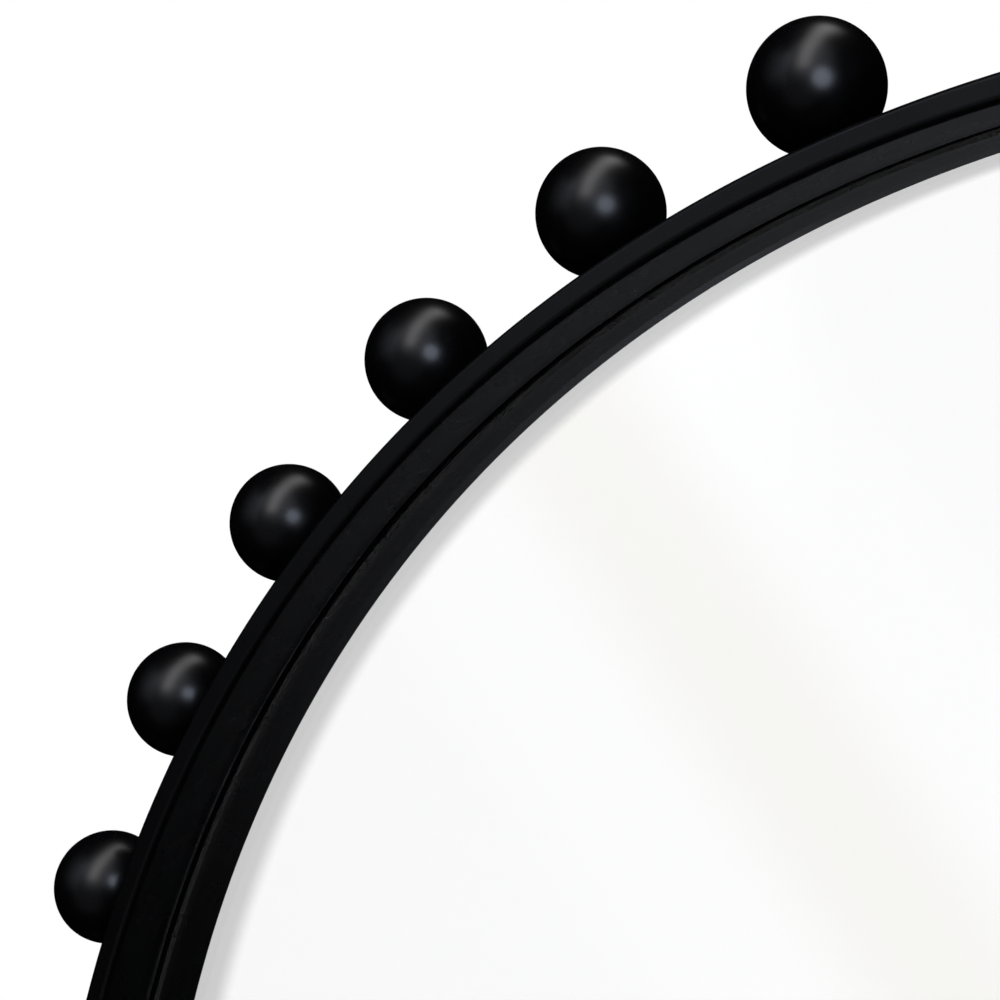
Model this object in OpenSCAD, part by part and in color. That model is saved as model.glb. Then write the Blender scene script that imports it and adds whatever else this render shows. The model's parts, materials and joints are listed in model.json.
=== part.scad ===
// Round wall mirror: a deep metal band with turned balls spaced round its outside,
// a trim ring bent from one sheet over its front and inside, a recessed glass and a
// screwed back board that hangs from two ring hangers.
// Every piece is drawn lying on its back: x is to the right, y is up the wall and z is
// the distance out from the wall. on_wall() then stands it up with its front to -Y.

/* [Outer band] */
// Outside diameter of the band
band_d = 831.4; // [700:0.2:1100]
// Depth of the whole frame, from the wall to its front
frame_depth = 46; // [44.5:0.5:70]
// Thickness of the band's wall
band_wall = 2.5; // [2:0.25:4]
// Radius of the band's outer edge at the back
band_edge_round = 1.2; // [0.5:0.1:1.8]

/* [Balls] */
// Number of balls round the band
ball_count = 36; // [24:1:40]
// Diameter of a ball
ball_d = 39.4; // [24:0.2:46]
// Height of the small foot that a ball stands on
ball_foot_h = 1.8; // [0.5:0.1:4]
// Diameter of that foot
ball_foot_d = 12; // [9:0.5:16]
// Depth from the band's front to the balls' centres
ball_setback = 23; // [20:0.5:26]
// Diameter of the threaded stud that holds a ball
stud_d = 5; // [4:0.5:6]
// Length of stud inside the ball
stud_bite = 11; // [6:0.5:14]
// Chamfer on the stud's inner end
stud_chamfer = 0.8; // [0.3:0.1:1.2]
// Play between the stud and its holes, all round
stud_play = 0.05; // [0.02:0.01:0.15]

/* [Trim ring] */
// Width of the front face, from the outside of the band to the inside of the trim ring
face_w = 7.9; // [7.5:0.1:14]
// Thickness of the ring's sheet
trim_t = 1; // [0.8:0.1:1.1]
// Radius of the face's outer edge
face_edge_round = 0.7; // [0.3:0.1:0.8]
// Outside radius of the bend from the face to the inner wall
face_bend = 2.2; // [1.2:0.1:4]
// Outside radius of the bend from the inner wall to the flange over the glass
flange_bend = 1.2; // [1.2:0.1:3]
// Play between the flange and the band
flange_play = 0.2; // [0.1:0.05:0.4]

/* [Glass] */
// Depth from the band's front to the front of the glass
glass_setback = 22.7; // [20:0.1:24.4]
// Thickness of the glass
glass_t = 5; // [3:0.5:6]
// Gap between the edge of the glass and the band
glass_gap = 1.5; // [1:0.1:2.5]
// Width of the arris ground on the edges of the glass
glass_arris = 0.8; // [0.3:0.1:1.2]
// Thickness of the silver and its paint
silver_t = 0.2; // [0.1:0.05:0.5]
// Gap that keeps the silver a surface of its own
silver_gap = 0.05; // [0.02:0.01:0.1]
// Thickness of the soft tape between the flange and the glass
tape_t = 0.8; // [0.5:0.1:2]
// How far the tape stays back from the inner wall
tape_setback = 1.8; // [1:0.1:3]
// Width of the rubber blocks that centre the glass
block_w = 30; // [15:1:50]
// Play on each side of a rubber block
block_play = 0.05; // [0.02:0.01:0.2]
// Angles of the rubber blocks round the glass
block_angles = [45, 135, 225, 315];

/* [Back] */
// Thickness of the card sheet behind the silver
card_t = 1.5; // [0.5:0.1:3]
// Thickness of the back board
board_t = 9; // [7:0.5:10.5]
// Gap between the edge of the board and the band
board_gap = 2; // [1.5:0.1:4]
// Number of fold-over tabs that hold the board
tab_count = 12; // [6:1:16]
// Width of a tab
tab_w = 14; // [10:0.5:20]
// Thickness of a tab
tab_t = 1.2; // [0.8:0.1:1.4]
// Length of a tab's foot over the board
tab_foot = 15; // [13:0.5:25]
// Distance from a tab's leg to its screw
tab_hole = 9.3; // [6:0.1:11]
// Length of a tab's leg against the band
tab_leg = 9; // [5:0.5:10.5]
// Outside radius of a tab's fold
tab_bend = 1.6; // [1.5:0.1:2.5]
// Play between a tab and the band
tab_play = 0.2; // [0.1:0.05:0.3]

/* [Hangers] */
// Distance between the two hangers
hanger_spacing = 400; // [200:5:500]
// Height of the hangers' ring bars above the middle
hanger_rise = 220; // [100:5:250]
// Width of a hanger's strap
strap_w = 14; // [11:0.5:16]
// Thickness of a hanger's strap
strap_t = 1.2; // [0.8:0.1:1.2]
// Length of a strap below its ring's bar
strap_len = 42; // [40:0.5:60]
// Radius of the strap's rounded end
strap_end_r = 8.4; // [8:0.1:12]
// Distance from the ring's bar to the first screw
strap_hole_1 = 21; // [20.5:0.5:24]
// Distance between a strap's two screws
strap_hole_pitch = 14; // [8:0.5:15]
// How far the strap's eye is lifted off the board
eye_lift = 0.2; // [0.1:0.05:0.3]
// Play between the ring's bar and its eye, all round
eye_play = 0.1; // [0.03:0.01:0.1]
// Diameter of the ring's wire
wire_d = 3; // [2.5:0.1:3]
// Width of the ring between the middles of its wire
ring_w = 22; // [21:0.5:24]
// Radius of the bends beside the ring's bar, at the middle of the wire
ring_bend = 2.5; // [2:0.1:2.7]
// Length of the ring's straight sides
ring_side = 1.5; // [0.5:0.1:2]

/* [Wood screws] */
// Diameter of a screw's shank
screw_d = 3.5; // [3:0.1:3.8]
// Diameter of a screw's head
screw_head_d = 6.5; // [5.5:0.1:7]
// Height of a screw's head
screw_head_h = 2.2; // [1.8:0.1:2.4]
// Height of the head's upright side, under its dome
screw_head_side = 0.4; // [0.2:0.1:1]
// Length of a screw under its head
screw_len = 8; // [5:0.5:8]
// Diameter of a screw's blunt tip
screw_tip_d = 0.7; // [0.3:0.1:1.5]
// Play of a screw in the tab or strap, all round
screw_play = 0.2; // [0.05:0.05:0.4]
// Play of a screw in its pilot hole, all round
pilot_play = 0.05; // [0.02:0.01:0.1]
// Length of the cross slot's arms, tip to tip
slot_len = 3.6; // [2:0.1:4.5]
// Width of the cross slot in a head
slot_w = 0.9; // [0.6:0.1:1.2]
// Depth of the cross slot
slot_depth = 1.1; // [0.6:0.1:1.2]

/* [Hidden] */
// Radii, from the outside inwards
band_r = band_d / 2;
band_in_r = band_r - band_wall;
trim_r = band_r - face_w;
flange_r = band_in_r - flange_play;
glass_r = band_in_r - glass_gap;
board_r = band_in_r - board_gap;
tab_r = band_in_r - tab_play;
// Distances out from the wall
ball_z = frame_depth - ball_setback;
band_front = frame_depth - trim_t;
glass_front = frame_depth - glass_setback;
flange_back = glass_front + tape_t;
glass_back = glass_front - glass_t;
silver_front = glass_back - silver_gap;
silver_back = silver_front - silver_t;
board_front = silver_back - card_t;
board_back = board_front - board_t;
// The hangers' eye, and the height of the ring's bar above the wall
eye_r = wire_d / 2 + eye_play;
eye_out_r = eye_r + strap_t;
bar_z = board_back - eye_lift - eye_out_r;
strap_screws = [strap_hole_1, strap_hole_1 + strap_hole_pitch];
tab_screw_r = tab_r - tab_hole;
ball_step = 360 / ball_count;
tab_step = 360 / tab_count;
// How far a cutting shape runs past what it cuts
over = 1;
$fn = 96;

satin_black = "#17171a";
black_wood = "#131315";
black_foam = "#101010";
black_rubber = "#202020";
clear_glass = "#dfe8e6";
silvering = "#c9ced1";
grey_card = "#8d8a84";
brown_board = "#6b4c33";
zinc_steel = "#a9abad";

function two_digits(i) = str(i < 10 ? "0" : "", i);
function ball_name(i) = str("ball_", two_digits(i));

// Stands a piece up against the wall, front to -Y
module on_wall() {
    rotate([90, 0, 0]) children();
}

// The corner that rounding takes off, for a section that lies to the left of and below [0, 0]
module corner_cut(r) {
    difference() {
        translate([-r, -r]) square(r + over);
        translate([-r, -r]) circle(r);
    }
}

// Section of a sheet's right-angle bend, in the corner to the left of and below [0, 0]
module sheet_bend(out_r, sheet_t) {
    intersection() {
        difference() {
            circle(out_r);
            circle(out_r - sheet_t);
        }
        translate([-out_r - over, -out_r - over]) square(out_r + over);
    }
}

// Section of the band: a flat strip with its rear outer edge rounded
module band_section() {
    difference() {
        translate([band_in_r, 0]) square([band_wall, band_front]);
        translate([band_r, 0]) mirror([0, 1]) corner_cut(band_edge_round);
    }
}

// Puts a child on the band's wall with its own z pointing outwards; ball 1 is at the top
module at_ball(i) {
    rotate([0, 0, 90 - (i - 1) * ball_step])
        translate([band_r, 0, ball_z])
            rotate([0, 90, 0])
                children();
}

module outer_band() {
    color(satin_black)
        on_wall()
            difference() {
                rotate_extrude() band_section();
                for (i = [1:ball_count])
                    at_ball(i)
                        translate([0, 0, -band_wall - over])
                            cylinder(d = stud_d + 2 * stud_play, h = band_wall + 2 * over);
            }
}

// Section of the trim ring: a face that lies on the band's front edge, bent into an
// upright wall and bent again into a flange over the glass
module trim_section() {
    wall_front = frame_depth - face_bend;
    wall_foot = flange_back + flange_bend;
    difference() {
        translate([trim_r + face_bend, band_front]) square([face_w - face_bend, trim_t]);
        translate([band_r, frame_depth]) corner_cut(face_edge_round);
    }
    translate([trim_r + face_bend, wall_front]) mirror([0, 1]) sheet_bend(face_bend, trim_t);
    translate([trim_r, wall_foot]) square([trim_t, wall_front - wall_foot]);
    translate([trim_r + flange_bend, wall_foot]) sheet_bend(flange_bend, trim_t);
    translate([trim_r + flange_bend, flange_back])
        square([flange_r - trim_r - flange_bend, trim_t]);
}

module trim_ring() {
    color(satin_black) on_wall() rotate_extrude() trim_section();
}

module glazing_tape() {
    tape_in_r = trim_r + tape_setback;
    color(black_foam)
        on_wall()
            translate([0, 0, glass_front])
                rotate_extrude()
                    translate([tape_in_r, 0]) square([glass_r - tape_in_r, tape_t]);
}

// The pane, with an arris ground along both edges
module mirror_glass() {
    color(clear_glass)
        on_wall()
            translate([0, 0, glass_back])
                rotate_extrude()
                    polygon([
                        [0, 0],
                        [glass_r - glass_arris, 0],
                        [glass_r, glass_arris],
                        [glass_r, glass_t - glass_arris],
                        [glass_r - glass_arris, glass_t],
                        [0, glass_t]
                    ]);
}

module silver_coat() {
    color(silvering)
        on_wall()
            translate([0, 0, silver_back])
                cylinder(r = glass_r - glass_arris, h = silver_t);
}

// Rubber blocks that centre the glass in the band
module edge_blocks() {
    span = block_w / glass_r * 180 / PI;
    color(black_rubber)
        on_wall()
            for (a = block_angles)
                rotate([0, 0, a - span / 2])
                    rotate_extrude(angle = span)
                        translate([glass_r + block_play, glass_back])
                            square([glass_gap - 2 * block_play, glass_t]);
}

module backing_card() {
    color(grey_card)
        on_wall()
            translate([0, 0, board_front])
                cylinder(r = board_r, h = card_t);
}

// Puts a child at each tab's screw, with z pointing out from the wall
module at_tabs() {
    for (i = [0:tab_count - 1])
        rotate([0, 0, (i + 0.5) * tab_step])
            children();
}

// Puts a child at each screw of both straps
module at_strap_screws() {
    for (side = [-1, 1], drop = strap_screws)
        translate([side * hanger_spacing / 2, hanger_rise - drop, 0])
            children();
}

module back_board() {
    pilot_d = screw_d + 2 * pilot_play;
    color(brown_board)
        on_wall()
            difference() {
                translate([0, 0, board_back]) cylinder(r = board_r, h = board_t);
                at_tabs()
                    translate([tab_screw_r, 0, board_back - over])
                        cylinder(d = pilot_d, h = board_t + 2 * over);
                at_strap_screws()
                    translate([0, 0, board_back - over])
                        cylinder(d = pilot_d, h = board_t + 2 * over);
            }
}

// Section of a tab: a leg up the band's wall and a foot over the board
module tab_section() {
    foot_back = board_back - tab_t;
    bend_r = tab_r - tab_bend;
    translate([tab_r - tab_t, foot_back + tab_bend]) square([tab_t, tab_t + tab_leg - tab_bend]);
    translate([bend_r, foot_back + tab_bend]) mirror([1, 0]) sheet_bend(tab_bend, tab_t);
    translate([tab_r - tab_foot, foot_back]) square([tab_foot - tab_bend, tab_t]);
}

module board_tabs() {
    span = tab_w / tab_r * 180 / PI;
    color(satin_black)
        on_wall()
            at_tabs()
                difference() {
                    rotate([0, 0, -span / 2]) rotate_extrude(angle = span) tab_section();
                    translate([tab_screw_r, 0, board_back - tab_t - over])
                        cylinder(d = screw_d + 2 * screw_play, h = tab_t + 2 * over);
                }
}

// Pan-head screw with a cross slot; its head starts at z = 0 and its shank points to +z
module wood_screw() {
    head_r = screw_head_d / 2;
    rise = screw_head_h - screw_head_side;
    dome_r = (head_r * head_r + rise * rise) / (2 * rise);
    difference() {
        intersection() {
            translate([0, 0, -screw_head_h]) cylinder(r = head_r, h = screw_head_h);
            translate([0, 0, dome_r - screw_head_h]) sphere(dome_r);
        }
        for (a = [0, 90])
            rotate([0, 0, a])
                translate([-slot_len / 2, -slot_w / 2, -screw_head_h - over])
                    cube([slot_len, slot_w, slot_depth + over]);
    }
    cylinder(d = screw_d, h = screw_len - screw_d);
    translate([0, 0, screw_len - screw_d])
        cylinder(d1 = screw_d, d2 = screw_tip_d, h = screw_d);
}

module tab_screws() {
    color(zinc_steel)
        on_wall()
            at_tabs()
                translate([tab_screw_r, 0, board_back - tab_t])
                    wood_screw();
}

module hanger_screws() {
    color(zinc_steel)
        on_wall()
            at_strap_screws()
                translate([0, 0, board_back - strap_t])
                    wood_screw();
}

// A ball on its small foot, with the blind hole for its stud; its z points out of the band
module turned_ball() {
    difference() {
        union() {
            translate([0, 0, ball_foot_h + ball_d / 2]) sphere(d = ball_d);
            cylinder(d = ball_foot_d, h = ball_foot_h + ball_d / 2);
        }
        translate([0, 0, -over]) cylinder(d = stud_d + 2 * stud_play, h = stud_bite + over);
    }
}

module ball(i) {
    color(black_wood) on_wall() at_ball(i) turned_ball();
}

// Headless studs, flush with the inside of the band
module ball_studs() {
    straight = stud_bite - stud_play - stud_chamfer;
    color(zinc_steel)
        on_wall()
            for (i = [1:ball_count])
                at_ball(i) {
                    translate([0, 0, -band_wall]) cylinder(d = stud_d, h = band_wall + straight);
                    translate([0, 0, straight])
                        cylinder(d1 = stud_d, d2 = stud_d - 2 * stud_chamfer, h = stud_chamfer);
                }
}

// Puts a child at a hanger's ring bar: x runs along the bar
module at_hanger(side) {
    translate([side * hanger_spacing / 2, hanger_rise, bar_z]) children();
}

// Outline of a strap, from its ring's bar down to its rounded end
module strap_outline() {
    intersection() {
        translate([-strap_w / 2, -strap_len]) square([strap_w, strap_len]);
        union() {
            translate([-strap_w / 2, strap_end_r - strap_len]) square([strap_w, strap_len]);
            translate([0, strap_end_r - strap_len]) circle(strap_end_r);
        }
    }
}

// Steel strap whose top is rolled into an eye round the ring's bar
module hanger_strap(side) {
    color(zinc_steel)
        on_wall()
            at_hanger(side)
                difference() {
                    union() {
                        rotate([0, 90, 0]) cylinder(r = eye_out_r, h = strap_w, center = true);
                        translate([0, 0, eye_out_r + eye_lift - strap_t])
                            linear_extrude(strap_t)
                                strap_outline();
                    }
                    rotate([0, 90, 0]) cylinder(r = eye_r, h = strap_w + 2 * over, center = true);
                    for (drop = strap_screws)
                        translate([0, -drop, 0])
                            cylinder(d = screw_d + 2 * screw_play, h = eye_out_r + eye_lift + over);
                }
}

// Length of wire along x from the middle
module wire(length) {
    rotate([0, 90, 0]) cylinder(d = wire_d, h = length, center = true);
}

// Wire bent on an arc in the ring's plane, from angle a over the given sweep
module wire_arc(r, a, sweep) {
    rotate([0, 0, a]) rotate_extrude(angle = sweep) translate([r, 0]) circle(d = wire_d);
}

// D-shaped ring that hangs from its bar
module hanger_ring(side) {
    half = ring_w / 2;
    color(zinc_steel)
        on_wall()
            at_hanger(side) {
                wire(ring_w - 2 * ring_bend);
                for (s = [0, 1])
                    mirror([s, 0, 0]) {
                        translate([half - ring_bend, -ring_bend, 0]) wire_arc(ring_bend, 0, 90);
                        translate([half, -ring_bend - ring_side / 2, 0]) rotate([0, 0, 90]) wire(ring_side);
                    }
                translate([0, -ring_bend - ring_side, 0]) wire_arc(half, 180, 180);
            }
}

module hanger_strap_left() {
    hanger_strap(-1);
}

module hanger_strap_right() {
    hanger_strap(1);
}

module hanger_ring_left() {
    hanger_ring(-1);
}

module hanger_ring_right() {
    hanger_ring(1);
}

outer_band();
trim_ring();
glazing_tape();
mirror_glass();
silver_coat();
edge_blocks();
backing_card();
back_board();
board_tabs();
tab_screws();
ball_studs();
hanger_strap_left();
hanger_strap_right();
hanger_ring_left();
hanger_ring_right();
hanger_screws();
for (i = [1:ball_count]) ball(i);
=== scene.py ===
import json
from math import atan2, cos, pi, radians, sin, sqrt, tan

import bpy
import numpy as np
from mathutils import Euler, Matrix, Vector


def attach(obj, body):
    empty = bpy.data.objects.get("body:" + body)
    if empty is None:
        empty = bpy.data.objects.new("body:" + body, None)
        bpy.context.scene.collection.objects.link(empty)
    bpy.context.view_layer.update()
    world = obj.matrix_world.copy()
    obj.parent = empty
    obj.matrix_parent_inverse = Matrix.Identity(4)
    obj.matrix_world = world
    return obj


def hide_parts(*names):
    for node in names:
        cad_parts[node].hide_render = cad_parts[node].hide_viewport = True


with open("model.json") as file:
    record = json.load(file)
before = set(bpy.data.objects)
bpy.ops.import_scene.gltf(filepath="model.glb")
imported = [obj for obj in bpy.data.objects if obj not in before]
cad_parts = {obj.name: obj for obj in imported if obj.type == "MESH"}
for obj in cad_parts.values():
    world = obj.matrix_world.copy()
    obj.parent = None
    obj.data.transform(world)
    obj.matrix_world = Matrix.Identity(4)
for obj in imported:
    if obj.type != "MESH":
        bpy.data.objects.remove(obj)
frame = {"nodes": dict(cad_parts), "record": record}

# Round wall mirror with a ring of balls. Metres, glass towards -Y, wall plane at y = 0, Z up.
# "Out" below is the distance out from the wall, so a point's y is minus its out.

mm = 0.001
scene = bpy.context.scene
bpy.context.view_layer.update()
nodes = frame["nodes"]
print("frame loaded:", len(nodes), "nodes")


# Camera: placed where the photograph was taken from

photoCamera = {
    "location": (0.0944, -0.5461, 0.2996),
    "lens": 73.07,
    "sensor": 36,
    "pan": 33.473,          # degrees to the left of straight on
    "tilt": -0.731,         # degrees above level
    "roll": 1.857,
    "nearest": 10 * mm,     # nothing nearer than this is drawn
}


def addCamera(c):
    data = bpy.data.cameras.new("photoCamera")
    data.lens = c["lens"]
    data.sensor_width = c["sensor"]
    data.clip_start = c["nearest"]
    camera = bpy.data.objects.new("photoCamera", data)
    scene.collection.objects.link(camera)
    aim = Euler((radians(90 + c["tilt"]), 0, radians(c["pan"]))).to_matrix()
    turn = (aim @ Matrix.Rotation(radians(c["roll"]), 3, "Z")).to_4x4()
    camera.matrix_world = Matrix.Translation(c["location"]) @ turn
    scene.camera = camera


addCamera(photoCamera)
print("camera placed")


# Colours and nodes

def linearColour(hexColour):
    # sRGB hex to the linear values that Blender's sockets take
    srgb = np.array([int(hexColour[i:i + 2], 16) for i in (1, 3, 5)]) / 255
    linear = np.where(srgb <= 0.04045, srgb / 12.92, ((srgb + 0.055) / 1.055) ** 2.4)
    return (*linear.tolist(), 1.0)


def addNode(tree, kind, inputs=None, stops=(), **settings):
    # One node. Inputs are values, nodes (for their first output) or (node, output) pairs; stops are a
    # ramp's (position, hex colour) pairs; settings are the node's own properties.
    node = tree.nodes.new("ShaderNode" + kind)
    for key, value in settings.items():
        setattr(node, key, value)
    for key, value in (inputs or {}).items():
        source = value if isinstance(value, tuple) else (value, 0)
        if isinstance(source[0], bpy.types.Node):
            tree.links.new(source[0].outputs[source[1]], node.inputs[key])
        else:
            node.inputs[key].default_value = value
    while stops and len(node.color_ramp.elements) < len(stops):
        node.color_ramp.elements.new(1)
    for i, (position, colour) in enumerate(stops):
        node.color_ramp.elements[i].position = position
        node.color_ramp.elements[i].color = linearColour(colour)
    return node


def newMaterial(name):
    # A material and its node tree, which starts empty
    material = bpy.data.materials.new(name)
    material.use_nodes = True
    material.node_tree.nodes.clear()
    return material, material.node_tree


# Shapes

def roundedOutline(corners):
    # Closed outline through corners (radius, out, rounding), counter-clockwise. Each corner becomes
    # an arc tangent to both sides, of more steps the longer it is; a point just before and just after
    # the arc, on the sides, keeps the flat between two arcs flat.
    support = 0.02 * mm
    fewestSteps, stepsPerRadian = 4, 8    # the second at a rounding of 1 mm
    points = []
    count = len(corners)
    for i, (r, out, rounding) in enumerate(corners):
        here = np.array([r, out])
        before = np.array(corners[i - 1][:2]) - here
        after = np.array(corners[(i + 1) % count][:2]) - here
        before /= np.linalg.norm(before)
        after /= np.linalg.norm(after)
        half = np.arccos(np.clip(before @ after, -1, 1)) / 2
        reach = rounding / tan(half)
        middle = (before + after) / np.linalg.norm(before + after)
        centre = here + middle * rounding / sin(half)
        first = here + before * reach - centre
        last = here + after * reach - centre
        start = atan2(first[1], first[0])
        sweep = (atan2(last[1], last[0]) - start + pi) % (2 * pi) - pi
        steps = max(fewestSteps, round(abs(sweep) * sqrt(rounding / mm) * stepsPerRadian))
        angles = start + sweep * np.linspace(0, 1, steps + 1)
        arc = centre + rounding * np.stack([np.cos(angles), np.sin(angles)], axis=1)
        points += [here + before * (reach + support), *arc, here + after * (reach + support)]
    return np.array(points)


def meshObject(name, points, faces, sharpAngle=35):
    # A mesh from arrays of points and faces, smooth but for edges sharper than the angle
    mesh = bpy.data.meshes.new(name)
    mesh.from_pydata(points.reshape(-1, 3), [], faces)
    mesh.validate()
    mesh.shade_smooth()
    mesh.set_sharp_from_angle(angle=radians(sharpAngle))
    piece = bpy.data.objects.new(name, mesh)
    scene.collection.objects.link(piece)
    return piece


def gridFaces(rows, columns, closeColumns=True):
    # Quads of a rows x columns grid whose rows wrap round, for row-major points
    i = np.arange(rows)[:, None]
    j = np.arange(columns if closeColumns else columns - 1)[None, :]
    nextRow, nextColumn = (i + 1) % rows, (j + 1) % columns
    corners = [
        i * columns + j, nextRow * columns + j,
        nextRow * columns + nextColumn, i * columns + nextColumn,
    ]
    return np.stack(np.broadcast_arrays(*corners), axis=-1).reshape(-1, 4)


def carriedRound(outline, turns):
    # The outline carried round the mirror's middle: (r cos a, -out, r sin a)
    a = np.linspace(0, 2 * pi, turns, endpoint=False)[:, None]
    r, out = outline[:, 0], outline[:, 1]
    return np.stack(np.broadcast_arrays(r * np.cos(a), -out, r * np.sin(a)), axis=-1)


def dressPiece(piece, material, slot, *replaced):
    # One finished piece: its material and the node of the frame that it stands in for; the slot is not used
    piece.data.materials.clear()
    piece.data.materials.append(material)
    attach(piece, "mirror")
    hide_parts(*replaced)


# Materials

def noiseBetween(tree, vector, size, low, high, detail=3):
    # Soft noise with features of the given size in metres, as values from about low to about high;
    # the noise itself lies mostly between 0.3 and 0.7
    noise = addNode(tree, "TexNoise", {"Vector": vector, "Scale": 1 / size, "Detail": detail})
    return addNode(tree, "MapRange", {
        "Value": noise, "From Min": 0.3, "From Max": 0.7, "To Min": low, "To Max": high,
    }, clamp=False)


blackPaint = {
    "colour": "#020203",
    "roughness": 0.28,
    "roughnessSpread": 0.02,
    "patchWidth": 17 * mm,        # of slightly more and less gloss
    "peelWidth": 1.1 * mm,        # from bump to bump of the orange peel
    "peelHeight": 0.003 * mm,
}


def satinBlackPaint(name, p):
    # Satin black paint: near black, with a soft, wide highlight that fine orange peel breaks up a little
    material, tree = newMaterial(name)
    place = (addNode(tree, "TexCoord"), "Object")
    peel = addNode(tree, "TexNoise", {"Vector": place, "Scale": 1 / p["peelWidth"], "Detail": 1})
    bump = addNode(tree, "Bump", {"Height": peel, "Distance": p["peelHeight"], "Strength": 1})
    spread = p["roughnessSpread"]
    rough = noiseBetween(tree, place, p["patchWidth"], p["roughness"] - spread, p["roughness"] + spread)
    shader = addNode(tree, "BsdfPrincipled", {
        "Base Color": linearColour(p["colour"]), "Roughness": rough, "IOR": 1.5, "Normal": bump,
    })
    addNode(tree, "OutputMaterial", {"Surface": shader})
    return material


tapeFoam = {
    "colours": [(0, "#050505"), (0.6, "#0f0f0f")],
    "cellWidth": 0.35 * mm,
    "cellDepth": 0.08 * mm,
    "bumpStrength": 0.8,
    "roughness": 0.92,
}


def foamTape(f):
    # Closed-cell foam: dull black with small round cells, so it swallows the light at the glass
    material, tree = newMaterial("blackFoamTape")
    place = (addNode(tree, "TexCoord"), "Object")
    cells = addNode(tree, "TexVoronoi", {"Vector": place, "Scale": 1 / f["cellWidth"]})
    bump = addNode(tree, "Bump", {
        "Height": cells, "Distance": f["cellDepth"], "Strength": f["bumpStrength"],
    })
    tone = addNode(tree, "ValToRGB", {0: cells}, stops=f["colours"])
    shader = addNode(tree, "BsdfPrincipled", {
        "Base Color": tone, "Roughness": f["roughness"], "Normal": bump,
    })
    addNode(tree, "OutputMaterial", {"Surface": shader})
    return material


edgeRubber = {
    "colours": [(0, "#111111"), (1, "#1d1d1c")],
    "bloomWidth": 5 * mm,
    "grainWidth": 0.25 * mm,
    "grainHeight": 0.02 * mm,
    "roughness": (0.55, 0.7),
    "roughPatchWidth": 8 * mm,
}


def blockRubber(r):
    # Moulded rubber: dark grey-black with a faint dusty bloom
    material, tree = newMaterial("blackRubber")
    place = (addNode(tree, "TexCoord"), "Object")
    bloom = noiseBetween(tree, place, r["bloomWidth"], 0, 1)
    tone = addNode(tree, "ValToRGB", {0: bloom}, stops=r["colours"])
    grain = noiseBetween(tree, place, r["grainWidth"], 0, 1)
    bump = addNode(tree, "Bump", {"Height": grain, "Distance": r["grainHeight"], "Strength": 1})
    rough = noiseBetween(tree, place, r["roughPatchWidth"], *r["roughness"])
    shader = addNode(tree, "BsdfPrincipled", {"Base Color": tone, "Roughness": rough, "Normal": bump})
    addNode(tree, "OutputMaterial", {"Surface": shader})
    return material


pane = {
    "groundFrom": 411.1 * mm,     # radius where the ground edge begins; the pane ends at 411.7
    "groundColour": "#4d665b",
    "groundRoughness": 0.45,
}


def floatGlass(g):
    # Clear float glass: sharp reflections on the face, a frosted dark green where the edge is ground
    material, tree = newMaterial("clearFloatGlass")
    place = (addNode(tree, "TexCoord"), "Object")
    flat = addNode(tree, "VectorMath", {0: place, 1: (1, 0, 1)}, operation="MULTIPLY")
    radius = addNode(tree, "VectorMath", {0: flat}, operation="LENGTH")
    ground = addNode(tree, "Math", {0: (radius, "Value"), 1: g["groundFrom"]}, operation="GREATER_THAN")
    tint = addNode(tree, "Mix", {
        "Factor": ground, 6: (1, 1, 1, 1), 7: linearColour(g["groundColour"]),
    }, data_type="RGBA")
    rough = addNode(tree, "Mix", {"Factor": ground, "A": 0.0, "B": g["groundRoughness"]})
    shader = addNode(tree, "BsdfPrincipled", {
        "Base Color": (tint, 2), "Roughness": rough, "IOR": 1.5, "Transmission Weight": 1,
    })
    addNode(tree, "OutputMaterial", {"Surface": shader})
    return material


silver = {
    "colour": "#fdfdfd",
    "lacquerColours": [(0, "#6b6e70"), (1, "#787b7c")],
    "lacquerPatchWidth": 3 * mm,
    "lacquerRoughness": 0.5,
}


def silverMirror(s):
    # Silvering: a clean, bright metal film in front, and the grey lacquer that protects it behind,
    # which covers the disc wherever its surface doesn't face the front, -Y
    material, tree = newMaterial("silverFilm")
    coords = addNode(tree, "TexCoord")
    facing = addNode(tree, "SeparateXYZ", {0: (coords, "Normal")})
    behind = addNode(tree, "Math", {0: (facing, "Y"), 1: -0.5}, operation="GREATER_THAN")
    patches = noiseBetween(tree, (coords, "Object"), s["lacquerPatchWidth"], 0, 1)
    lacquer = addNode(tree, "ValToRGB", {0: patches}, stops=s["lacquerColours"])
    colour = addNode(tree, "Mix", {
        "Factor": behind, 6: linearColour(s["colour"]), 7: lacquer,
    }, data_type="RGBA")
    rough = addNode(tree, "Mix", {"Factor": behind, "A": 0.0, "B": s["lacquerRoughness"]})
    metal = addNode(tree, "Mix", {"Factor": behind, "A": 1.0, "B": 0.0})
    shader = addNode(tree, "BsdfPrincipled", {
        "Base Color": (colour, 2), "Roughness": rough, "Metallic": metal,
    })
    addNode(tree, "OutputMaterial", {"Surface": shader})
    return material


card = {
    "colours": [(0, "#93908a"), (0.5, "#a29e97"), (1, "#aeaba4")],
    "fibreWidth": 0.9 * mm,
    "fibreHeight": 0.01 * mm,
    "roughness": 0.9,
}
fibreboard = {
    "colours": [(0, "#775a3f"), (0.5, "#86664a"), (1, "#967553")],
    "fibreWidth": 1.3 * mm,
    "fibreHeight": 0.03 * mm,
    "roughness": 0.78,
}
fibres = {
    "turns": (25, -50),           # degrees, the two ways that fibres lie
    "stretch": 0.12,              # width over length
    "blotchWidth": 45 * mm,
    "blotch": 0.12,               # lighter and darker by this share of the colour range
}


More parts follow.
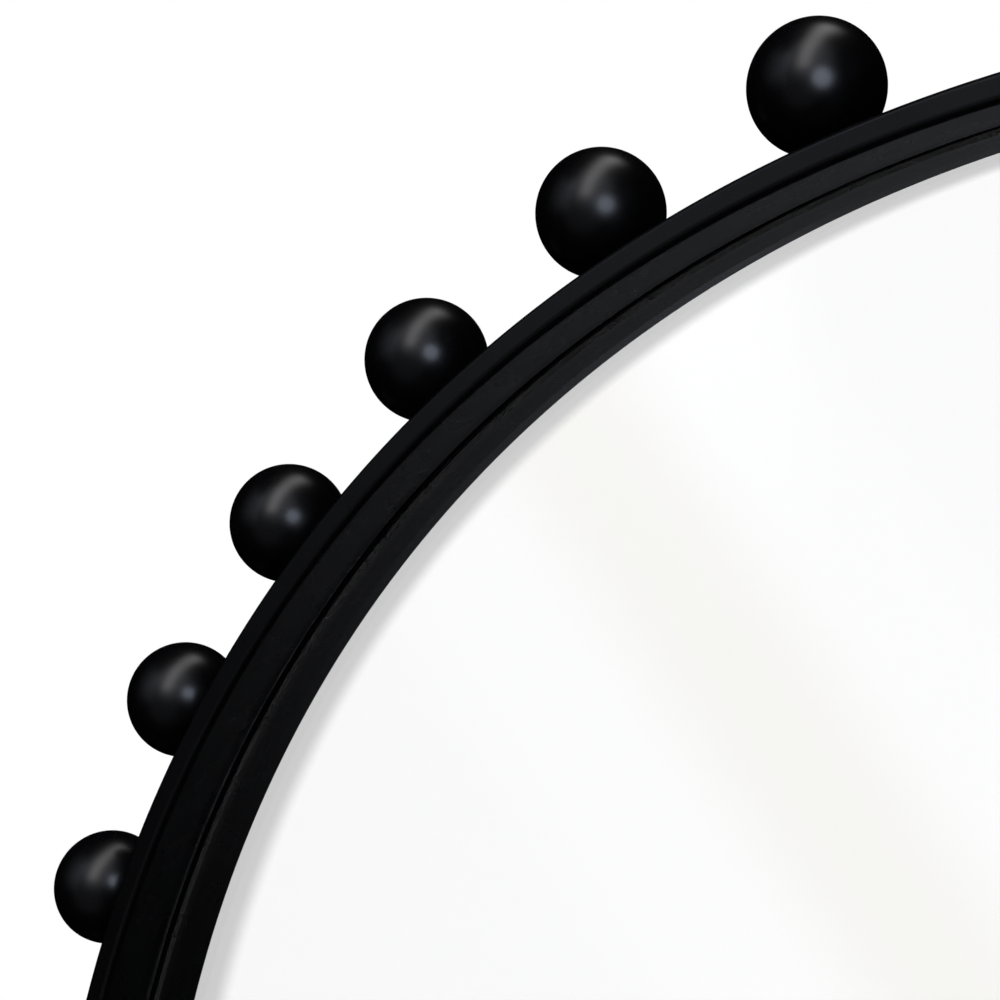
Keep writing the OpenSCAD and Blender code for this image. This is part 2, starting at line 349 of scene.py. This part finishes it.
def fibreSheet(name, s, f):
    # Pressed fibres: short streaks in two directions over soft blotches, dull
    material, tree = newMaterial(name)
    place = (addNode(tree, "TexCoord"), "Object")
    streaks = []
    for turn in f["turns"]:
        lying = addNode(tree, "Mapping", {
            "Vector": place, "Rotation": (0, radians(turn), 0), "Scale": (f["stretch"], 1, 1),
        })
        streaks.append(noiseBetween(tree, lying, s["fibreWidth"], 0, 0.5, detail=5))
    both = addNode(tree, "Math", {0: streaks[0], 1: streaks[1]}, operation="ADD")
    blotch = noiseBetween(tree, place, f["blotchWidth"], -f["blotch"], f["blotch"])
    mixed = addNode(tree, "Math", {0: both, 1: blotch}, operation="ADD")
    tone = addNode(tree, "ValToRGB", {0: mixed}, stops=s["colours"])
    bump = addNode(tree, "Bump", {"Height": both, "Distance": s["fibreHeight"], "Strength": 1})
    shader = addNode(tree, "BsdfPrincipled", {
        "Base Color": tone, "Roughness": s["roughness"], "Normal": bump,
    })
    addNode(tree, "OutputMaterial", {"Surface": shader})
    return material


zincPlate = {
    "colours": [(0, "#c3c9cb"), (1, "#d6d4c9")],
    "roughness": 0.3,
    "markWidth": 0.15 * mm,
}
nickelPlate = {
    "colours": [(0, "#cfc9be"), (1, "#dbd6cc")],
    "roughness": 0.22,
    "markWidth": 0.3 * mm,
}
plating = {
    "cloudWidth": 2.5 * mm,
    "rubbedWidth": 1.2 * mm,
    "smoother": 0.06,             # the roughness varies from this much less
    "rougher": 0.08,              # to this much more
    "markHeight": 0.004 * mm,
}


def platedSteel(name, m, p):
    # Plated steel: bright metal, clouded a little by uneven plating and fine rubbing marks
    material, tree = newMaterial(name)
    place = (addNode(tree, "TexCoord"), "Object")
    clouds = noiseBetween(tree, place, p["cloudWidth"], 0, 1)
    tone = addNode(tree, "ValToRGB", {0: clouds}, stops=m["colours"])
    low, high = m["roughness"] - p["smoother"], m["roughness"] + p["rougher"]
    rough = noiseBetween(tree, place, p["rubbedWidth"], low, high)
    marks = noiseBetween(tree, place, m["markWidth"], 0, 1)
    bump = addNode(tree, "Bump", {"Height": marks, "Distance": p["markHeight"], "Strength": 1})
    shader = addNode(tree, "BsdfPrincipled", {
        "Base Color": tone, "Metallic": 1, "Roughness": rough, "Normal": bump,
    })
    addNode(tree, "OutputMaterial", {"Surface": shader})
    return material


blackFrame = satinBlackPaint("satinBlackPowderCoat", blackPaint)
blackBalls = satinBlackPaint("satinBlackLacquer", blackPaint)
slotMaterials = {
    "satin_black_steel": blackFrame,
    "satin_black_wood": blackBalls,
    "black_foam_tape": foamTape(tapeFoam),
    "black_rubber": blockRubber(edgeRubber),
    "clear_glass": floatGlass(pane),
    "silvering": silverMirror(silver),
    "grey_card": fibreSheet("greyCardAndPaintedShadeTube", card, fibres),
    "brown_board": fibreSheet("brownFibreboard", fibreboard, fibres),
    "zinc_steel": platedSteel("zincPlatedSteel", zincPlate, plating),
    "nickel_steel": platedSteel("nickelPlatedSteel", nickelPlate, plating),
}
slotOf = {part["node"]: part["material_slot"] for part in frame["record"]["subparts"]}
for name, node in nodes.items():
    for materialSlot in node.material_slots:
        materialSlot.material = slotMaterials[slotOf[name]]
print("materials made:", len(slotMaterials))


# Trim ring: one sheet bent into the front face, the inner wall and the flange over the glass

trim = {
    "innerRadius": 407.8 * mm,
    "outerRadius": 415.7 * mm,
    "flangeRadius": 413 * mm,
    "frontOut": 46 * mm,
    "flangeOut": 24.1 * mm,             # back of the flange, which presses on the tape
    "sheet": 1 * mm,
    "cutRounding": 0.04 * mm,           # of the sheet's cut edges and of the lip
    "edgeBreak": (1 * mm, 0.6 * mm),    # outer front edge pressed down: over this width, by this much,
    "breakRounding": (1.5 * mm, 0.4 * mm),    # rounded where it begins and where it ends
    "faceBend": 2.2 * mm,               # outside of the bend from face to wall
    "footLean": (0.13 * mm, 2.8 * mm),  # the wall's foot leans in by this, over this height,
    "footBend": 50 * mm,                # rounded where it begins
    "lipOut": 23.45 * mm,               # under the foot a lip comes down to just above the glass,
    "lipWidth": 1.5 * mm,               # as wide as this,
    "lipSlope": (1.2 * mm, 0.8 * mm),   # bevelled over this width and height, seen in the mirror only
    "turns": 720,
}


def makeTrim(t):
    # The section of the sheet carried round the mirror's middle
    inner, outer, cut = t["innerRadius"], t["outerRadius"], t["cutRounding"]
    wallBack = inner + t["sheet"]
    flangeFront = t["flangeOut"] + t["sheet"]
    faceBack = t["frontOut"] - t["sheet"]
    breakWidth, breakDepth = t["edgeBreak"]
    beginRounding, endRounding = t["breakRounding"]
    leanIn, leanHeight = t["footLean"]
    slopeWidth, slopeHeight = t["lipSlope"]
    footOut = t["lipOut"] + slopeHeight
    outline = roundedOutline([
        (inner, footOut + leanHeight, t["footBend"]),
        (inner - leanIn, footOut, cut),
        (inner + slopeWidth, t["lipOut"], cut),
        (inner + t["lipWidth"], t["lipOut"], cut),
        (inner + t["lipWidth"], t["flangeOut"], cut),
        (t["flangeRadius"], t["flangeOut"], cut),
        (t["flangeRadius"], flangeFront, cut),
        (wallBack, flangeFront, cut),
        (wallBack, faceBack, t["faceBend"] - t["sheet"]),
        (outer, faceBack, cut),
        (outer, t["frontOut"] - breakDepth, endRounding),
        (outer - breakWidth, t["frontOut"], beginRounding),
        (inner, t["frontOut"], t["faceBend"]),
    ])
    faces = gridFaces(t["turns"], len(outline)).tolist()
    ring = meshObject("trimRing", carriedRound(outline, t["turns"]), faces)
    dressPiece(ring, blackFrame, "satin_black_steel", "trim_ring")


makeTrim(trim)
print("trim ring made")


# Balls

ball = {
    "count": 36,
    "diameter": 39.4 * mm,
    "standRadius": 415.7 * mm,    # outside of the band, which the feet stand on
    "footHeight": 1.8 * mm,
    "footDiameter": 12 * mm,
    "footBevel": 0.2 * mm,
    "filletRounding": 0.8 * mm,   # paint that fills the corner between foot and ball
    "filletPoints": 7,
    "out": 23 * mm,
    "holeDiameter": 5.1 * mm,
    "holeDepth": 11 * mm,
    "turns": 96,
    "steps": 56,                  # rows from the foot to the far pole
}


def ballOutline(b):
    # Half section of a ball as (distance from its axis, height above the band): up the hole for the
    # stud, out over the foot, round the fillet that touches foot and ball, then round the ball
    radius, foot, hole = b["diameter"] / 2, b["footDiameter"] / 2, b["holeDiameter"] / 2
    centre = b["footHeight"] + radius
    fillet = b["filletRounding"]
    filletOff = foot + fillet
    filletHeight = centre - sqrt((radius + fillet) ** 2 - filletOff ** 2)
    lean = atan2(centre - filletHeight, -filletOff)
    arc = np.linspace(pi, lean, b["filletPoints"])
    start = atan2(filletHeight - centre, filletOff)
    sweep = np.linspace(start, pi / 2, b["steps"])
    depth, bevel = b["holeDepth"], b["footBevel"]
    return np.concatenate([
        [[0, depth], [hole, depth], [hole, bevel], [hole + bevel, 0], [foot - bevel, 0], [foot, bevel]],
        np.stack([filletOff + fillet * np.cos(arc), filletHeight + fillet * np.sin(arc)], axis=1),
        np.stack([radius * np.cos(sweep), centre + radius * np.sin(sweep)], axis=1)[1:-1],
        [[0, centre + radius]],
    ])


def makeBalls(b):
    # The half section turned about the ball's axis, as (r cos a, r sin a, height) with a point at each
    # end, then stood on the band: base + r cos a * side + r sin a * third + height * up
    outline = ballOutline(b)
    inner = outline[1:-1]
    turns, rows = b["turns"], len(inner)
    a = np.linspace(0, 2 * pi, turns, endpoint=False)[:, None]
    turned = np.broadcast_arrays(inner[:, 0] * np.cos(a), inner[:, 0] * np.sin(a), inner[:, 1])
    across, along, height = (values.ravel() for values in turned)
    across = np.concatenate([across, [0, 0]])
    along = np.concatenate([along, [0, 0]])
    height = np.concatenate([height, [outline[0, 1], outline[-1, 1]]])
    faces = gridFaces(turns, rows, closeColumns=False).tolist()
    first = np.arange(turns) * rows
    following = np.roll(first, -1)
    nearPole, farPole = turns * rows, turns * rows + 1
    faces += np.stack([first, np.full(turns, nearPole), following], axis=1).tolist()
    faces += np.stack([first + rows - 1, following + rows - 1, np.full(turns, farPole)], axis=1).tolist()
    for i in range(b["count"]):
        t = radians(90 - i * 360 / b["count"])
        up = np.array([cos(t), 0, sin(t)])
        side = np.array([0, -1, 0])
        third = np.cross(up, side)
        base = b["standRadius"] * up + b["out"] * side
        points = base + np.outer(across, side) + np.outer(along, third) + np.outer(height, up)
        piece = meshObject(f"ball{i + 1:02d}", points, faces)
        dressPiece(piece, blackBalls, "satin_black_wood", f"ball_{i + 1:02d}")


makeBalls(ball)
print("balls made:", ball["count"])


# Stage: floor, the glowing grey tube that the glass reflects as a painted shade along its edge, lamps and
# world

floorPlan = {"height": -456.9 * mm, "radius": 1.6, "sides": 128, "colour": "#e8e6e2", "roughness": 0.8}


def makeFloor(f):
    # Pale round floor: (r cos a, r sin a, height). The black paint doesn't mirror it, neither straight
    # nor by way of the glass.
    a = np.linspace(0, 2 * pi, f["sides"], endpoint=False)
    height = np.full(f["sides"], f["height"])
    points = np.stack([f["radius"] * np.cos(a), f["radius"] * np.sin(a), height], axis=1)
    floor = meshObject("floor", points, [list(range(f["sides"]))])
    material, tree = newMaterial("paleFloor")
    path = addNode(tree, "LightPath")
    deep = addNode(tree, "Math", {0: (path, "Glossy Depth"), 1: 1.5}, operation="GREATER_THAN")
    hidden = addNode(tree, "Math", {0: (path, "Is Glossy Ray"), 1: deep}, operation="MAXIMUM")
    pale = addNode(tree, "BsdfPrincipled", {
        "Base Color": linearColour(f["colour"]), "Roughness": f["roughness"],
    })
    clear = addNode(tree, "BsdfTransparent")
    mix = addNode(tree, "MixShader", {0: hidden, 1: pale, 2: clear})
    addNode(tree, "OutputMaterial", {"Surface": mix})
    floor.data.materials.append(material)


makeFloor(floorPlan)

# Painted shade: a glowing grey tube that the glass shows as a soft grey band inside the frame
paintedShadeTube = {
    "radius": 407.85 * mm,
    "startOut": 44.4 * mm,
    "endOut": 67 * mm,
    "fadeOut": 54 * mm,           # from here it fades away
    "level": 0.65,
    "turns": 360,
}


def makePaintedShadeTube(g):
    # A glowing grey tube in front of the face, (r cos a, -out, r sin a), seen only in the glass, where it
    # gives the soft grey edge: a painted shade, since the tube is no lamp and no part of the mirror
    ends = np.array([[g["radius"], g["startOut"]], [g["radius"], g["endOut"]]])
    faces = gridFaces(g["turns"], len(ends), closeColumns=False).tolist()
    tube = meshObject("greyCardAndPaintedShadeTube", carriedRound(ends, g["turns"]), faces)
    material, tree = newMaterial("fadingPaintedShade")
    axes = addNode(tree, "SeparateXYZ", {0: (addNode(tree, "TexCoord"), "Object")})
    fade = addNode(tree, "MapRange", {
        "Value": (axes, "Y"), "From Min": -g["endOut"], "From Max": -g["fadeOut"],
    }, interpolation_type="SMOOTHSTEP")
    clear = addNode(tree, "BsdfTransparent")
    # The emitted grey is painted shade along the mirror's edge, fading to clear away from the face
    grey = addNode(tree, "Emission", {"Strength": g["level"]})
    mix = addNode(tree, "MixShader", {0: fade, 1: clear, 2: grey})
    addNode(tree, "OutputMaterial", {"Surface": mix})
    tube.data.materials.append(material)
    tube.visible_camera = tube.visible_diffuse = tube.visible_glossy = False
    tube.visible_shadow = tube.visible_volume_scatter = False


makePaintedShadeTube(paintedShadeTube)
print("floor and grey tube made")

lamps = [
    # Long strip overhead, from front to back; the world's strip takes its place in reflections
    {"name": "overheadStrip", "shape": "RECTANGLE", "at": (-0.1, -1.45, 3.2), "aim": (-0.1, -1.45, 0),
     "size": (1.0, 6.7), "power": 130, "colour": "#fffaf5", "reflected": False},
    # Small soft lamp beside the camera
    {"name": "smallLamp", "shape": "DISK", "at": (0.141, -0.477, 0.460), "aim": (-0.25, -0.02, 0.36),
     "size": (0.3, 0.3), "power": 0.9, "colour": "#dfeaff", "reflected": True},
    # Large panel behind, which only the bare metal at the back reflects
    {"name": "backPanel", "shape": "RECTANGLE", "at": (0, 2.5, 0.1), "aim": (0, 0, 0.1),
     "size": (7, 4), "power": 60, "colour": "#ffffff", "reflected": True,
     "slots": ("zinc_steel", "nickel_steel")},
]


def addLamp(plan):
    data = bpy.data.lights.new(plan["name"], "AREA")
    data.shape = plan["shape"]
    data.size, data.size_y = plan["size"]
    data.energy = plan["power"]
    data.color = linearColour(plan["colour"])[:3]
    lamp = bpy.data.objects.new(plan["name"], data)
    scene.collection.objects.link(lamp)
    lamp.location = plan["at"]
    lamp.rotation_euler = (Vector(plan["aim"]) - Vector(plan["at"])).to_track_quat("-Z", "Y").to_euler()
    lamp.visible_camera = False
    lamp.visible_transmission = False
    lamp.visible_glossy = plan["reflected"]
    if "slots" in plan:
        lit = bpy.data.collections.new(plan["name"] + "Lit")
        for name, node in nodes.items():
            if slotOf[name] in plan["slots"]:
                lit.objects.link(node)
        lamp.light_linking.receiver_collection = lit


for lampPlan in lamps:
    addLamp(lampPlan)

studio = {
    "fill": 0.7,                  # white room for dull surfaces
    "glass": 1.1,                 # white that the mirror shows, before what glass and silver take
    "rest": 0.0015,               # black paint and metal reflect this, and the glows below
    # A faint darker band in the mirror runs square to this; its colours go by the direction's share
    # along it, times the spread
    "bandAcross": (0.6977, -0.4108, 0.5869),
    "bandSpread": 5.0,
    "bandColours": [(0, "#f6f6f2"), (0.1, "#f7f6f4"), (0.2, "#fafaf9"), (0.3, "#fdfdfd"),
                    (0.52, "#fdfdfd"), (0.68, "#fbfbfb")],
}

# Soft glows in the world. Each edge is (axis, none at, full at): the glow grows from nothing to its whole
# level while the direction's share along the axis goes from the one value to the other.
glows = [
    {"name": "strip", "level": 2.62, "colour": "#fffcfc", "edges": [
        ((0.9987, 0, -0.051), -0.29, 0), ((0.9987, 0, -0.051), 0.29, 0),
        ((0, 0.369, 0.929), -0.12, 0.12), ((0, -0.927, 0.375), -0.15, 0.15)]},
    {"name": "haze", "level": 0.64, "colour": "#eef3ff", "edges": [((0.124, -0.756, 0.643), 0.74, 0.988)]},
    {"name": "window", "level": 0.8, "colour": "#e8eeff", "edges": [
        ((-0.903, 0.430, 0), -0.035, 0.035), ((-0.752, 0.659, 0), 0.643, -0.643),
        ((0, 0, 1), -0.166, 0.354), ((0, 0, 1), 0.781, 0.591), ((0, 1, 0), 0.3, 0.1)]},
    {"name": "low", "level": 0.1, "colour": "#f2f5ff", "edges": [((-0.036, -0.983, -0.179), 0.768, 0.949)]},
    {"name": "deep", "level": 0.45, "colour": "#ffffff", "edges": []},
]


def makeWorld(w, glowPlans):
    # Camera and mirror see white, dull surfaces a white room, black paint and metal only the glows.
    # Light sampled straight from the world would pass by these tests on the ray, so that is off.
    world = bpy.data.worlds.new("studio")
    scene.world = world
    world.cycles.sampling_method = "NONE"
    world.use_nodes = True
    tree = world.node_tree
    tree.nodes.clear()
    direction = (addNode(tree, "TexCoord"), "Generated")
    path = addNode(tree, "LightPath")
    depth = (path, "Glossy Depth")
    passed = (path, "Is Transmission Ray")

    # The strip is seen at a first reflection only. Deep is seen after three, by silver, paint and
    # silver again, which gives the light line at the wall's foot.
    first = addNode(tree, "Math", {0: depth, 1: 1.5}, operation="LESS_THAN")
    third = addNode(tree, "Math", {0: depth, 1: 3, 2: 0.5}, operation="COMPARE")
    seenBy = {"strip": first, "deep": addNode(tree, "Math", {0: passed, 1: third}, operation="MULTIPLY")}
    dim = (w["rest"],) * 3
    for plan in glowPlans:
        share = seenBy.get(plan["name"], 1.0)
        for axis, noneAt, fullAt in plan["edges"]:
            along = addNode(tree, "VectorMath", {0: direction, 1: axis}, operation="DOT_PRODUCT")
            edge = addNode(tree, "MapRange", {
                "Value": (along, "Value"), "From Min": noneAt, "From Max": fullAt,
            }, interpolation_type="SMOOTHSTEP")
            share = addNode(tree, "Math", {0: share, 1: edge}, operation="MULTIPLY")
        whole = tuple(c * plan["level"] for c in linearColour(plan["colour"])[:3])
        glow = addNode(tree, "VectorMath", {0: whole, "Scale": share}, operation="SCALE")
        dim = addNode(tree, "VectorMath", {0: dim, 1: glow}, operation="ADD")

    # White in the mirror, with one faint band across
    along = addNode(tree, "VectorMath", {0: direction, 1: w["bandAcross"]}, operation="DOT_PRODUCT")
    off = addNode(tree, "Math", {0: (along, "Value")}, operation="ABSOLUTE")
    spread = addNode(tree, "Math", {0: off, 1: w["bandSpread"]}, operation="MULTIPLY")
    band = addNode(tree, "ValToRGB", {0: spread}, stops=w["bandColours"])
    white = addNode(tree, "VectorMath", {0: band, "Scale": w["glass"]}, operation="SCALE")

    reflected = addNode(tree, "Math", {0: (path, "Is Glossy Ray"), 1: passed}, operation="MAXIMUM")
    throughGlass = addNode(tree, "Math", {0: passed, 1: first}, operation="MULTIPLY")
    colour = (w["fill"],) * 3 + (1,)
    for ray, seen in ((reflected, dim), (throughGlass, white), ((path, "Is Camera Ray"), (1, 1, 1, 1))):
        mix = addNode(tree, "Mix", {"Factor": ray, 6: colour, 7: seen}, data_type="RGBA")
        colour = (mix, 2)
    background = addNode(tree, "Background", {"Color": colour, "Strength": 1})
    addNode(tree, "OutputWorld", {"Surface": background})


makeWorld(studio, glows)
scene.view_settings.view_transform = "Standard"
print("stage lit:", len(lamps), "lamps")

bpy.context.view_layer.update()
